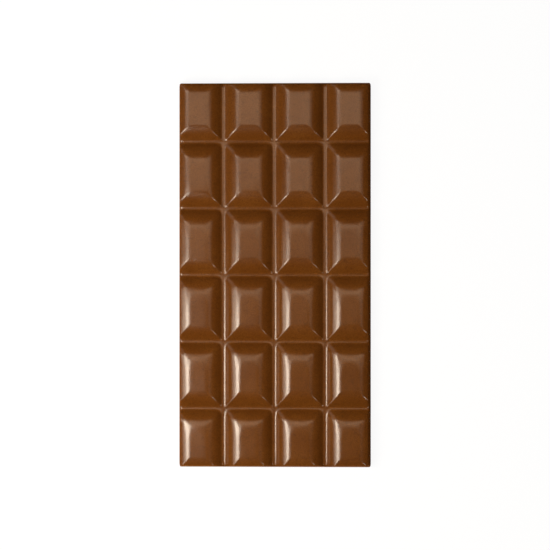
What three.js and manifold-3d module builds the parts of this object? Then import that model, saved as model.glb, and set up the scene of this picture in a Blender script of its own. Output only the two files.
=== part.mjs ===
// A moulded bar of milk chocolate, scored into four columns and six rows of pieces, lying on its flat back.
// Millimetres, +Z up. The origin is the middle of the back; X runs across the bar and Y along it.
import * as THREE from 'three';
import { mergeVertices } from 'three/addons/utils/BufferGeometryUtils.js';
import Module from 'manifold-3d';

// The whole bar, measured at its back, where it is widest.
const barWidth = 80;
const barLength = 160;
const columnCount = 4;
const rowCount = 6;
const slabHeight = 4.3;        // from the back to the floor of the grooves
const pieceHeight = 3;         // from the floor of the grooves to the flat tops
const wallDraft = 8;           // degrees that the side walls lean inwards, as they left the mould
const barCornerRadius = 1;

// The grooves between the pieces.
const lengthwayGroove = 1.75;  // width of the floor of the three grooves that run along the bar
const crosswayGroove = 1.45;   // width of the floor of the five grooves that run across it

// The side walls cut into the outer pieces, so those are narrower than the inner ones.
const sideTrim = 2.27;
const endTrim = 3;

// One piece: a flat top with four convex flanks that grow steeper towards the groove.
const flankRun = 6.4;          // from the foot of a flank to the edge of the flat top, seen from above
const ridgeSlope = 2;          // degrees of slope where the flank meets the flat top
const flankSteps = 5;
const footCornerRadius = 1.7;
const topCornerRadius = 0.7;
const cornerSteps = 3;

const columnPitch = (barWidth + 2 * sideTrim) / columnCount;
const rowPitch = (barLength + 2 * endTrim) / rowCount;
const footWidth = columnPitch - lengthwayGroove;
const footLength = rowPitch - crosswayGroove;
const barHeight = slabHeight + pieceHeight;
const overshoot = 1;           // how far a cutting solid reaches past what it cuts

const milkChocolate = new THREE.MeshStandardMaterial({ color: 0x6f3d1e, roughness: 0.34, metalness: 0 });

const wasm = await Module();
wasm.setup();

// A closed mesh as a solid that can be joined and cut.
function toSolid(geometry) {
  geometry.deleteAttribute('normal');
  geometry.deleteAttribute('uv');
  const merged = mergeVertices(geometry, 1e-4);
  const vertProperties = new Float32Array(merged.attributes.position.array);
  const triVerts = new Uint32Array(merged.index.array);
  return new wasm.Manifold(new wasm.Mesh({ numProp: 3, vertProperties, triVerts }));
}

// The finished solid as a geometry that three.js can show.
function toGeometry(solid) {
  const { vertProperties, triVerts } = solid.getMesh();
  const geometry = new THREE.BufferGeometry();
  geometry.setAttribute('position', new THREE.BufferAttribute(vertProperties, 3));
  geometry.setIndex(new THREE.BufferAttribute(triVerts, 1));
  geometry.computeVertexNormals();
  return geometry;
}

// A rectangle with round corners, anticlockwise, centred on the origin.
function roundedRectangle(width, length, radius) {
  const points = [];
  for (let corner = 0; corner < 4; corner++) {
    const right = corner === 0 || corner === 3 ? 1 : -1;
    const back = corner < 2 ? 1 : -1;
    const centre = new THREE.Vector2(right * (width / 2 - radius), back * (length / 2 - radius));
    for (let step = 0; step <= cornerSteps; step++) {
      const angle = (corner + step / cornerSteps) * Math.PI / 2;
      points.push(new THREE.Vector2(radius, 0).rotateAround(new THREE.Vector2(), angle).add(centre));
    }
  }
  return points;
}

// A closed skin through outlines that lie one above the other and have the same number of points.
function loft(levels) {
  const count = levels[0].outline.length;
  const positions = levels.flatMap(({ outline, z }) => outline.flatMap((point) => [point.x, point.y, z]));
  const indices = [];
  for (let level = 0; level < levels.length - 1; level++) {
    for (let point = 0; point < count; point++) {
      const here = level * count + point;
      const next = level * count + (point + 1) % count;
      indices.push(here, next, next + count, here, next + count, here + count);
    }
  }
  const lid = THREE.ShapeUtils.triangulateShape(levels[0].outline, []);
  const top = (levels.length - 1) * count;
  for (const [a, b, c] of lid) {
    indices.push(a, c, b, top + a, top + b, top + c);
  }
  const geometry = new THREE.BufferGeometry();
  geometry.setAttribute('position', new THREE.Float32BufferAttribute(positions, 3));
  geometry.setIndex(indices);
  return geometry;
}

// How high an arc has risen after a run from the foot, when it starts at one slope and ends at another.
function arcRise(run, radius, footAngle) {
  const sine = Math.sin(footAngle) - run / radius;
  return radius * (Math.sqrt(1 - sine * sine) - Math.cos(footAngle));
}

// The slope at the foot for which an arc over the flank's run climbs the height of a piece.
function solveFootAngle(ridgeAngle) {
  let low = ridgeAngle;
  let high = Math.PI / 2;
  for (let round = 0; round < 40; round++) {
    const middle = (low + high) / 2;
    const radius = flankRun / (Math.sin(middle) - Math.sin(ridgeAngle));
    if (arcRise(flankRun, radius, middle) < pieceHeight) low = middle;
    else high = middle;
  }
  return (low + high) / 2;
}

// One piece, standing in the slab, with its outlines drawn in along the arc of its flanks.
function makePiece() {
  const ridgeAngle = THREE.MathUtils.degToRad(ridgeSlope);
  const footAngle = solveFootAngle(ridgeAngle);
  const radius = flankRun / (Math.sin(footAngle) - Math.sin(ridgeAngle));
  const foot = roundedRectangle(footWidth, footLength, footCornerRadius);
  const levels = [{ outline: foot, z: slabHeight - overshoot }];
  for (let step = 0; step <= flankSteps; step++) {
    const share = step / flankSteps;
    const angle = THREE.MathUtils.lerp(footAngle, ridgeAngle, share);
    const inset = radius * (Math.sin(footAngle) - Math.sin(angle));
    const cornerRadius = THREE.MathUtils.lerp(footCornerRadius, topCornerRadius, share);
    levels.push({
      outline: roundedRectangle(footWidth - 2 * inset, footLength - 2 * inset, cornerRadius),
      z: slabHeight + arcRise(inset, radius, footAngle),
    });
  }
  return toSolid(loft(levels));
}

// The slab under all the pieces, larger than the bar until the side walls cut it.
function makeSlab() {
  const depth = slabHeight + overshoot;
  const box = new THREE.BoxGeometry(columnCount * columnPitch, rowCount * rowPitch, depth);
  box.translate(0, 0, slabHeight - depth / 2);
  return toSolid(box);
}

// The space between the leaning side walls, with the back as its floor.
function makeEnvelope() {
  const height = barHeight + overshoot;
  const lean = height * Math.tan(THREE.MathUtils.degToRad(wallDraft));
  return toSolid(loft([
    { outline: roundedRectangle(barWidth, barLength, barCornerRadius), z: 0 },
    { outline: roundedRectangle(barWidth - 2 * lean, barLength - 2 * lean, barCornerRadius), z: height },
  ]));
}

function makeBar() {
  const piece = makePiece();
  let bar = makeSlab();
  for (let column = 0; column < columnCount; column++) {
    for (let row = 0; row < rowCount; row++) {
      const x = (column - (columnCount - 1) / 2) * columnPitch;
      const y = (row - (rowCount - 1) / 2) * rowPitch;
      bar = bar.add(piece.translate([x, y, 0]));
    }
  }
  return bar.intersect(makeEnvelope());
}

const bar = new THREE.Mesh(toGeometry(makeBar()), milkChocolate);
bar.name = 'chocolate_bar';

const group = new THREE.Group();
group.add(bar);

export default group;
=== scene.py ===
import math
import random

import bmesh
import bpy
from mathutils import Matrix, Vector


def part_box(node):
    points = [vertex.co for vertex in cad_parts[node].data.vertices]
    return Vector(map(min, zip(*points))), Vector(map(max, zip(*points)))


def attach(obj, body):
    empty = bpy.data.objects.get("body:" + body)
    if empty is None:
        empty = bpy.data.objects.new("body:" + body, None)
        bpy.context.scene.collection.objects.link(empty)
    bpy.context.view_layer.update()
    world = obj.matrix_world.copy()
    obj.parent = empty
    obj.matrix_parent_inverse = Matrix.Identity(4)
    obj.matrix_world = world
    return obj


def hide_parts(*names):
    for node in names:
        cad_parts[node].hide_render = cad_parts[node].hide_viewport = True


random.seed(20)
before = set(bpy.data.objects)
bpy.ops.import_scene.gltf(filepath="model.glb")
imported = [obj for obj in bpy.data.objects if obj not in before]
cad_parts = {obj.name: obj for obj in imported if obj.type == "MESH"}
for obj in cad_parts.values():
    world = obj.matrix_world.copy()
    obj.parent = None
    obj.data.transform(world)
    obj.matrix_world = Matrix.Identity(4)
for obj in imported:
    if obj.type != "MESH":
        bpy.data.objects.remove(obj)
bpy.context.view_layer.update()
tiny = 1e-6                                  # points nearer than this are one
print("frame loaded")


def selectNothing():
    bpy.ops.object.select_all(action="DESELECT")


def editMode(on):
    bpy.ops.object.mode_set(mode="EDIT" if on else "OBJECT")


def selectOnly(kind, test):                  # the VERT, EDGE or FACE elements that pass the test
    bpy.ops.mesh.select_mode(type=kind)
    bpy.ops.mesh.select_all(action="DESELECT")
    mesh = bmesh.from_edit_mesh(bpy.context.object.data)
    for element in {"VERT": mesh.verts, "EDGE": mesh.edges, "FACE": mesh.faces}[kind]:
        element.select_set(test(element))
    mesh.select_flush_mode()
    bmesh.update_edit_mesh(bpy.context.object.data)


def selectBorder():                          # the open border of the mesh
    selectOnly("EDGE", lambda edge: edge.is_boundary)


def stretchTo(size, newSize):                # scales the selection about the middle of the piece
    factors = (newSize[0] / size[0], newSize[1] / size[1], 1)
    bpy.ops.transform.resize(value=factors, center_override=(0, 0, 0))


def extrudeDown(drop):                       # pulls a new ring of faces out of the selected border
    bpy.ops.mesh.extrude_edges_move(TRANSFORM_OT_translate={"value": (0, 0, -drop)})


# The bar itself: sizes in metres, slopes in degrees.
barSizes = {
    "columns": 4,
    "rows": 6,
    "reliefHeight": 0.003,                   # flat tops above the floors of the grooves
    "topGap": 0.00009,                       # keeps the uneven tops inside the height of the frame
    "wallDraft": 8,
    "sideTrim": 0.00227,                     # how far the side walls cut into the outer pieces
    "endTrim": 0.003,
    "lengthwayGroove": 0.00175,
    "crosswayGroove": 0.00145,
    "flankRun": 0.0064,
    "ridgeSlope": 2,
    "hollow": 0.0014,                        # radius of the hollow at the foot of a flank
    "hollowOnFloor": 0.0006,                 # how much of the floor's width the hollow takes on each side
    "floorDip": 0.00003,                     # the middle of a groove's floor is this much deeper
    "swellRings": (0.12, 0.25, 0.38, 0.52, 0.66, 0.8, 0.92, 1),
    "hollowRings": (0.2, 0.4, 0.6, 0.8, 1),
    "topGrid": (5, 9),
    "hipLines": (0.00006, 0.0002),           # lines beside the near edges of the top keep its hips crisp
    "edgeLine": 0.0003,                      # the same beside the shoulder and the lower edge
    "shortestEdge": 0.00008,                 # points of the cut outline nearer than this become one
    "wallSnap": 0.00001,                     # points this near to a wall's plane lie on it
    "wallReach": 0.00015,                    # open points this near to a wall belong to it
    "backSlices": (16, 32),
    "tilt": 0.16,                            # largest lean of a piece, as it left the mould
    "tiltAbove": 0.0002,                     # points lower than this above the grooves don't lean
    "softening": (10, 12, 7, 5, 1, 0),       # how worn the tops' corners are, from the near row on
    "softReach": 0.0028,
    "mouldWaves": ((0.012, 0.00004), (0.003, 0.000006)),     # length and height of each wave
    "mouldedBelow": 0.0001,                  # the moulded side ends this far below the grooves
    "pourWaves": ((0.022, 0.0003), (0.005, 0.00006)),
    "pouredAbove": 0.00001,                  # the poured back ends this far up
    "wornRidge": {"row": 4, "columns": (0, 1), "reach": 0.0016, "rounds": 5},
}


def flankProfile(sizes):                     # how far out and how far down each ring of a flank lies
    run, rise, hollow = sizes["flankRun"] + sizes["hollowOnFloor"], sizes["reliefHeight"], sizes["hollow"]
    ridge = math.radians(sizes["ridgeSlope"])
    low, high = ridge + 0.01, math.pi / 2
    for halving in range(40):                # the slope for which swell and hollow climb the whole relief
        steep = (low + high) / 2
        swellRun = run - hollow * math.sin(steep)
        swell = swellRun / (math.sin(steep) - math.sin(ridge))
        swellRise = swell * (math.cos(ridge) - math.cos(steep))
        if swellRise + hollow * (1 - math.cos(steep)) < rise:
            low = steep
        else:
            high = steep
    rings = []
    for share in sizes["swellRings"]:
        slope = math.asin(math.sin(ridge) + share * swellRun / swell)
        rings.append((share * swellRun, swell * (math.cos(ridge) - math.cos(slope))))
    for share in sizes["hollowRings"]:
        slope = steep * (1 - share)
        rings.append((run - hollow * math.sin(slope), rise - hollow * (1 - math.cos(slope))))
    return rings


def flatHalf(sizes, pitch):                  # half the width and length of a flat top
    grooves = (sizes["lengthwayGroove"], sizes["crosswayGroove"])
    return [(pitch[axis] - grooves[axis]) / 2 - sizes["flankRun"] for axis in (0, 1)]


def makePiece(sizes, pitch, top):            # one piece with half a groove all round, open at its border
    flat = [2 * side for side in flatHalf(sizes, pitch)]
    across, along = sizes["topGrid"]
    bpy.ops.mesh.primitive_grid_add(x_subdivisions=across, y_subdivisions=along, size=1,
                                    location=(0, 0, top))
    piece = bpy.context.object
    piece.name = "piece"
    bpy.ops.object.transform_apply(location=True, rotation=False, scale=False)
    editMode(True)
    bpy.ops.mesh.select_all(action="SELECT")
    stretchTo((1, 1), flat)
    for line in sizes["hipLines"]:           # only the near half gets them, so the far hips stay soft
        for x, y in ((line - flat[0] / 2, 0), (flat[0] / 2 - line, 0), (0, line - flat[1] / 2)):
            selectOnly("FACE", lambda face: face.calc_center_bounds().y < 0)
            bpy.ops.mesh.bisect(plane_co=(x, y, top), plane_no=(x, y, 0), threshold=tiny)
    selectBorder()
    size, depth = flat, 0
    for out, down in flankProfile(sizes):
        newSize = [flat[axis] + 2 * out for axis in (0, 1)]
        extrudeDown(down - depth)
        stretchTo(size, newSize)
        size, depth = newSize, down
    extrudeDown(sizes["floorDip"])
    stretchTo(size, pitch)
    editMode(False)
    return piece


def copyPiece(piece, place):
    copy = piece.copy()
    copy.data = piece.data.copy()
    bpy.context.collection.objects.link(copy)
    copy.location = place
    return copy


def joinAll(pieces):                         # one object, with shared borders merged
    selectNothing()
    for piece in pieces:
        piece.select_set(True)
    bpy.context.view_layer.objects.active = pieces[0]
    bpy.ops.object.join()
    bpy.ops.object.transform_apply(location=True, rotation=True, scale=True)
    return bpy.context.object


def cellMiddle(sizes, pitch, column, row):
    return (column - (sizes["columns"] - 1) / 2) * pitch[0], (row - (sizes["rows"] - 1) / 2) * pitch[1]


def tiltPieces(sizes, pitch, floor):         # no two tops lean alike
    most = math.radians(sizes["tilt"])
    for row in range(sizes["rows"]):
        for column in range(sizes["columns"]):
            x, y = cellMiddle(sizes, pitch, column, row)
            selectOnly("VERT", lambda vert: vert.co.z > floor + sizes["tiltAbove"] and
                       abs(vert.co.x - x) < pitch[0] / 2 and abs(vert.co.y - y) < pitch[1] / 2)
            for axis in ("X", "Y"):
                bpy.ops.transform.rotate(value=random.uniform(-most, most), orient_axis=axis,
                                         center_override=(x, y, floor))


def wear(rounds):                            # smooths the selected points
    bpy.ops.mesh.vertices_smooth(factor=0.5, repeat=rounds)


def softenCorners(sizes, pitch):             # rounds the far corners of the flat tops, row by row
    half = flatHalf(sizes, pitch)
    for row, rounds in enumerate(sizes["softening"]):
        corners = []
        for column in range(sizes["columns"]):
            x, y = cellMiddle(sizes, pitch, column, row)
            corners += [(x + side * half[0], y + half[1]) for side in (-1, 1)]
        if rounds:
            selectOnly("VERT", lambda vert: any(math.dist(vert.co.xy, corner) < sizes["softReach"]
                                                for corner in corners))
            wear(rounds)


def wearRidge(sizes, pitch):                 # the near ridges of two pieces came out of the mould rounder
    worn = sizes["wornRidge"]
    half = flatHalf(sizes, pitch)
    for column in worn["columns"]:
        x, y = cellMiddle(sizes, pitch, column, worn["row"])
        selectOnly("VERT", lambda vert: abs(vert.co.x - x) < half[0] + worn["reach"] and
                   abs(vert.co.y - y + half[1]) < worn["reach"])
        wear(worn["rounds"])


def cutWalls(sizes, half):                   # four leaning cuts leave the outline of the bar
    draft = math.radians(sizes["wallDraft"])
    for axis in (0, 1):
        for side in (-1, 1):
            point, normal = [0, 0, 0], [0, 0, math.sin(draft)]
            point[axis] = side * half[axis]
            normal[axis] = side * math.cos(draft)
            bpy.ops.mesh.select_all(action="SELECT")
            bpy.ops.mesh.bisect(plane_co=point, plane_no=normal, clear_outer=True,
                                threshold=sizes["wallSnap"])


def squareUp(half, z, lean, reach):          # brings the open ring on the walls to one height
    for axis in (0, 1):
        for side in (-1, 1):
            flatten, centre = [1, 1, 1], [0, 0, 0]
            flatten[axis] = 0
            centre[axis] = side * (half[axis] - z * lean)
            selectOnly("VERT", lambda vert: vert.is_boundary and
                       side * vert.co[axis] > half[axis] - vert.co.z * lean - reach)
            bpy.ops.transform.resize(value=flatten, center_override=centre)
    selectBorder()
    bpy.ops.transform.resize(value=(1, 1, 0), center_override=(0, 0, z))


def makeWalls(sizes, half):                  # shoulder, wall and lower edge, ring by ring
    lean = math.tan(math.radians(sizes["wallDraft"]))
    line = sizes["edgeLine"]
    selectBorder()
    bpy.ops.mesh.remove_doubles(threshold=sizes["shortestEdge"])
    selectBorder()
    extrudeDown(line)
    stretchTo(half, (half[0] + line * lean, half[1] + line * lean))
    extrudeDown(line)
    squareUp(half, line, lean, sizes["wallReach"])
    extrudeDown(line)
    stretchTo((half[0] - line * lean, half[1] - line * lean), half)
    extrudeDown(0)
    stretchTo(half, (half[0] - line, half[1] - line))


def onBack(face, half, line):                # not one of the narrow faces along its edge
    middle = face.calc_center_bounds()
    return face.normal.z < -0.9 and all(abs(middle[axis]) < half[axis] - line for axis in (0, 1))


def makeBack(sizes, half):                   # fills the back and slices it into squares
    bpy.ops.mesh.edge_face_add()
    for axis in (0, 1):
        slices = sizes["backSlices"][axis]
        for cut in range(1, slices):
            point, normal = [0, 0, 0], [0, 0, 0]
            point[axis] = half[axis] * (2 * cut / slices - 1)
            normal[axis] = 1
            selectOnly("FACE", lambda face: onBack(face, half, sizes["edgeLine"]))
            bpy.ops.mesh.bisect(plane_co=point, plane_no=normal, threshold=tiny)


def applyModifier(thing, kind, **settings):
    modifier = thing.modifiers.new(kind.lower(), kind)
    for name, value in settings.items():
        setattr(modifier, name, value)
    bpy.ops.object.modifier_apply(modifier=modifier.name)


def groupVerts(thing, name, test):
    group = thing.vertex_groups.new(name=name)
    group.add([vert.index for vert in thing.data.vertices if test(vert.co)], 1, "REPLACE")


def clouds(size):
    texture = bpy.data.textures.new("clouds", "CLOUDS")
    texture.noise_scale = size
    texture.noise_depth = 2
    return texture


def roughen(bar, sizes):                     # a moulded face that is never quite flat, and a poured back
    low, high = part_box("chocolate_bar")
    floor = high.z - sizes["topGap"] - sizes["reliefHeight"]
    inner = [high.x - 2 * sizes["edgeLine"], high.y - 2 * sizes["edgeLine"]]
    groupVerts(bar, "moulded", lambda place: place.z > floor - sizes["mouldedBelow"])
    groupVerts(bar, "poured", lambda place: place.z < low.z + sizes["pouredAbove"] and
               abs(place.x) < inner[0] and abs(place.y) < inner[1])
    for wave, strength in sizes["mouldWaves"]:
        applyModifier(bar, "DISPLACE", texture=clouds(wave), texture_coords="LOCAL", vertex_group="moulded",
                      direction="NORMAL", mid_level=0.5, strength=strength)
    for wave, strength in sizes["pourWaves"]:
        applyModifier(bar, "DISPLACE", texture=clouds(wave), texture_coords="LOCAL", vertex_group="poured",
                      direction="Z", mid_level=0, strength=strength)


def makeBar(sizes):
    low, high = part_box("chocolate_bar")
    half = ((high.x - low.x) / 2, (high.y - low.y) / 2)
    top = high.z - sizes["topGap"]
    pitch = (2 * (half[0] + sizes["sideTrim"]) / sizes["columns"],
             2 * (half[1] + sizes["endTrim"]) / sizes["rows"])
    selectNothing()
    piece = makePiece(sizes, pitch, top)
    print("first piece modelled:", len(piece.data.polygons), "faces")
    pieces = []
    for row in range(sizes["rows"]):
        for column in range(sizes["columns"]):
            pieces.append(copyPiece(piece, (*cellMiddle(sizes, pitch, column, row), 0)))
    bpy.data.objects.remove(piece)
    bar = joinAll(pieces)
    bar.name = "chocolateBar"
    editMode(True)
    bpy.ops.mesh.select_all(action="SELECT")
    bpy.ops.mesh.remove_doubles(threshold=tiny)
    tiltPieces(sizes, pitch, top - sizes["reliefHeight"])
    softenCorners(sizes, pitch)
    wearRidge(sizes, pitch)
    cutWalls(sizes, half)
    makeWalls(sizes, half)
    makeBack(sizes, half)
    bpy.ops.mesh.select_all(action="SELECT")
    bpy.ops.mesh.normals_make_consistent(inside=False)
    editMode(False)
    print("pieces joined, cut and closed:", len(bar.data.polygons), "faces")
    applyModifier(bar, "SUBSURF", levels=1, render_levels=1)
    roughen(bar, sizes)
    bpy.ops.object.shade_smooth()
    print("bar smoothed:", len(bar.data.polygons), "faces")
    return bar


bar = makeBar(barSizes)
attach(bar, "root")
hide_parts("chocolate_bar")


def plug(node, name, value):                 # feeds one input with a socket or a plain value
    if isinstance(value, Socket):
        value.tree.links.new(value.output, node.inputs[name])
    else:
        node.inputs[name].default_value = value


class Socket:                                # a shader value that plain code can add, scale and mix
    def __init__(self, tree, output):
        self.tree = tree
        self.output = output

    def node(self, kind, settings, **inputs):        # any node, fed with sockets or plain values
        made = self.tree.nodes.new(kind)
        for name, value in settings.items():
            setattr(made, name, value)
        for name, value in inputs.items():
            place = int(name[5:]) if name.startswith("input") else name.replace("_", " ")
            plug(made, place, value)
        return made

    def maths(self, operation, other):
        made = self.node("ShaderNodeMath", {"operation": operation}, input0=self, input1=other)
        return Socket(self.tree, made.outputs[0])

    def __add__(self, other):
        return self.maths("ADD", other)

    def __sub__(self, other):
        return self.maths("SUBTRACT", other)

    def __mul__(self, other):
        return self.maths("MULTIPLY", other)

    def ramp(self, low, high, newLow=0.0, newHigh=1.0):      # smooth step between two values
        made = self.node("ShaderNodeMapRange", {"interpolation_type": "SMOOTHSTEP"}, Value=self,
                         From_Min=low, From_Max=high, To_Min=newLow, To_Max=newHigh)
        return Socket(self.tree, made.outputs[0])

    def noise(self, size, detail, roughness, stretch=(1, 1, 1)):     # size of a blotch in metres
        scaled = self.node("ShaderNodeVectorMath", {"operation": "MULTIPLY"}, input0=self,
                           input1=tuple(value / size for value in stretch))
        made = self.node("ShaderNodeTexNoise", {}, Vector=Socket(self.tree, scaled.outputs[0]), Scale=1.0,
                         Detail=detail, Roughness=roughness)
        return Socket(self.tree, made.outputs["Fac"])

    def mixed(self, one, other):             # this value chooses between two colours
        made = self.node("ShaderNodeMix", {"data_type": "RGBA"}, input0=self, input6=one, input7=other)
        return Socket(self.tree, made.outputs[2])


def newMaterial(name):                       # its tree, its shader and the object coordinates
    material = bpy.data.materials.new(name)
    material.use_nodes = True
    tree = material.node_tree
    coordinates = tree.nodes.new("ShaderNodeTexCoord")
    place = Socket(tree, coordinates.outputs["Object"])
    return material, tree.nodes["Principled BSDF"], place


chocolateLook = {                            # linear colours, sizes in metres
    "brown": (0.112, 0.0355, 0.0045, 1),
    "paleBrown": (0.130, 0.0440, 0.0065, 1),
    "deepBrown": (0.072, 0.0225, 0.0026, 1),
    "blotch": (0.011, 3.0, 0.55),            # each noise has a size, a detail and a roughness
    "grain": (0.0011, 4.0, 0.65),
    "speck": (0.00045, 1.0, 0.5),
    "smear": (0.0066, 4.0, 0.6),
    "pitting": (0.00055, 3.0, 0.6),
    "brushing": (0.0006, 2.0, 0.6),
    "paleRange": (0.35, 0.7),                # the part of the blotches over which the brown turns pale
    "grainRange": (0.5, 0.75),
    "grainDepth": 0.8,
    "speckRange": (0.35, 0.65),
    "speckDepth": 0.5,
    "gloss": 0.2,                            # roughness of the moulded side, then of the poured back
    "backGloss": 0.46,
    "backHeight": 0.0004,                    # the back's roughness ends at this height
    "smearGloss": 0.07,
    "grainGloss": 0.05,
    "refraction": 1.47,
    "bump": 0.9,
    "bumpDepth": 0.00002,
}


def chocolatePaint(look):
    material, shader, place = newMaterial("milkChocolate")
    blotches = place.noise(*look["blotch"])
    grain = place.noise(*look["grain"])
    brown = blotches.ramp(*look["paleRange"]).mixed(look["brown"], look["paleBrown"])
    colour = (grain.ramp(*look["grainRange"]) * look["grainDepth"]).mixed(brown, look["deepBrown"])
    specks = place.noise(*look["speck"])
    colour = (specks.ramp(*look["speckRange"]) * look["speckDepth"]).mixed(colour, look["deepBrown"])
    plug(shader, "Base Color", colour)
    smears = place.noise(*look["smear"], (1, 0.4, 1))
    height = Socket(place.tree, place.node("ShaderNodeSeparateXYZ", {}, Vector=place).outputs["Z"])
    gloss = height.ramp(0, look["backHeight"], look["backGloss"], look["gloss"])
    gloss = gloss + (smears - 0.5) * look["smearGloss"] + (grain - 0.5) * look["grainGloss"]
    plug(shader, "Roughness", gloss)
    plug(shader, "IOR", look["refraction"])
    fine = place.noise(*look["pitting"]) + place.noise(*look["brushing"], (1, 0.15, 1))
    bump = place.node("ShaderNodeBump", {}, Strength=look["bump"], Distance=look["bumpDepth"], Height=fine)
    plug(shader, "Normal", Socket(place.tree, bump.outputs["Normal"]))
    return material


bar.data.materials.clear()
bar.data.materials.append(chocolatePaint(chocolateLook))
print("chocolate painted")

floorLook = {                                # a white ground that shows no shadow
    "side": 8,
    "drop": 0.00005,                         # just under the bar
    "roughness": 0.9,
    "pale": (0.07, 0.075, 0.08, 1),          # what the camera sees of the floor, besides its glow
    "unseen": (0.34, 0.14, 0.04, 1),         # what the chocolate sees of it, so that the walls stay dark
    "glow": 0.93,
}


def makeFloor(look):
    selectNothing()
    bpy.ops.mesh.primitive_plane_add(size=look["side"], location=(0, 0, -look["drop"]))
    floor = bpy.context.object
    floor.name = "floor"
    material, shader, place = newMaterial("floorPaint")
    path = Socket(place.tree, place.tree.nodes.new("ShaderNodeLightPath").outputs["Is Camera Ray"])
    plug(shader, "Base Color", path.mixed(look["unseen"], look["pale"]))
    plug(shader, "Roughness", look["roughness"])
    plug(shader, "Specular IOR Level", 0.0)
    plug(shader, "Emission Color", path.mixed((0, 0, 0, 1), (1, 1, 1, 1)))
    plug(shader, "Emission Strength", look["glow"])
    floor.data.materials.append(material)


makeFloor(floorLook)

# Soft panels of light: middle, width and length in metres, radiance, lean and turn in degrees.
keyTint, sheenTint, sideTint, frontTint = (1, 0.87, 0.71), (1, 0.73, 0.49), (1, 0.83, 0.66), (1, 0.92, 0.8)
lights = {
    "keyCore": {"middle": (-0.155, -0.0585, 0.3), "size": (0.1, 0.093), "glow": 22, "tint": keyTint},
    "keyMiddle": {"middle": (-0.16, -0.04, 0.3), "size": (0.12, 0.07), "glow": 3, "tint": keyTint},
    "keyTail": {"middle": (-0.33, -0.025, 0.3), "size": (0.24, 0.04), "glow": 10, "tint": keyTint},
    "keyLow": {"middle": (-0.235, -0.125, 0.3), "size": (0.21, 0.16), "glow": 4.5, "tint": keyTint},
    "farKey": {"middle": (-0.425, -0.03, 0.9), "size": (0.35, 0.06), "glow": 14, "tint": keyTint},
    "sheenLeft": {"middle": (-0.125, 0.12, 0.9), "size": (0.25, 0.15), "glow": 3.1, "tint": sheenTint},
    "sheenEdge": {"middle": (-0.22, 0.12, 0.9), "size": (0.14, 0.15), "glow": 2, "tint": sheenTint},
    "sheenRight": {"middle": (0.125, 0.11, 0.9), "size": (0.25, 0.15), "glow": 3.3, "tint": sheenTint},
    "sheenFar": {"middle": (0.35, 0.04, 0.9), "size": (0.2, 0.2), "glow": 1.3, "tint": sideTint},
    "sideLeft": {"middle": (-0.425, 0.20, 0.9), "size": (0.35, 0.16), "glow": 6.5, "tint": sideTint},
    "rearLeft": {"middle": (-0.995, 0.835, 0.75), "size": (1, 0.9), "glow": 0.8, "lean": 60, "turn": 140,
                 "tint": frontTint},
    "frontLeft": {"middle": (-0.81, -0.81, 0.96), "size": (1.3, 0.14), "glow": 11, "lean": 50, "turn": 225,
                  "tint": frontTint},
    "frontRight": {"middle": (0.61, -0.61, 1.23), "size": (0.35, 0.12), "glow": 26, "lean": 35, "turn": 315,
                   "tint": frontTint},
}


def makeLight(name, light):
    data = bpy.data.lights.new(name, "AREA")
    data.shape = "RECTANGLE"
    data.size, data.size_y = light["size"]
    data.color = light["tint"]
    data.energy = light["glow"] * math.pi * light["size"][0] * light["size"][1]
    lamp = bpy.data.objects.new(name, data)
    bpy.context.collection.objects.link(lamp)
    lamp.location = light["middle"]
    lamp.rotation_euler = (0, math.radians(light.get("lean", 0)), math.radians(light.get("turn", 0)))
    lamp.visible_camera = False


for name, light in lights.items():
    makeLight(name, light)

cameraPlace = {
    "frameWidth": 0.2287,                    # what the square picture shows at the height of the floor
    "distance": 1.6,
    "sideways": 0.11,
    "sensor": 36,
}


def makeCamera(place):
    data = bpy.data.cameras.new("camera")
    camera = bpy.data.objects.new("camera", data)
    bpy.context.collection.objects.link(camera)
    camera.location = (place["sideways"], 0, place["distance"])
    camera.rotation_euler = (0, math.atan2(place["sideways"], place["distance"]), 0)
    data.sensor_width = place["sensor"]
    data.lens = place["sensor"] * place["distance"] / place["frameWidth"]
    bpy.context.scene.camera = camera


makeCamera(cameraPlace)


def makeWorld(seen, unseen):                 # pale to the eye, dim to everything that reflects it
    world = bpy.data.worlds.new("world")
    world.use_nodes = True
    tree = world.node_tree
    path = Socket(tree, tree.nodes.new("ShaderNodeLightPath").outputs["Is Camera Ray"])
    shade = path.mixed((unseen, unseen, unseen, 1), (seen, seen, seen, 1))
    tree.links.new(shade.output, tree.nodes["Background"].inputs["Color"])
    bpy.context.scene.world = world
    bpy.context.scene.view_settings.view_transform = "Standard"


makeWorld(0.9, 0.02)
print("stage, lights and camera placed")
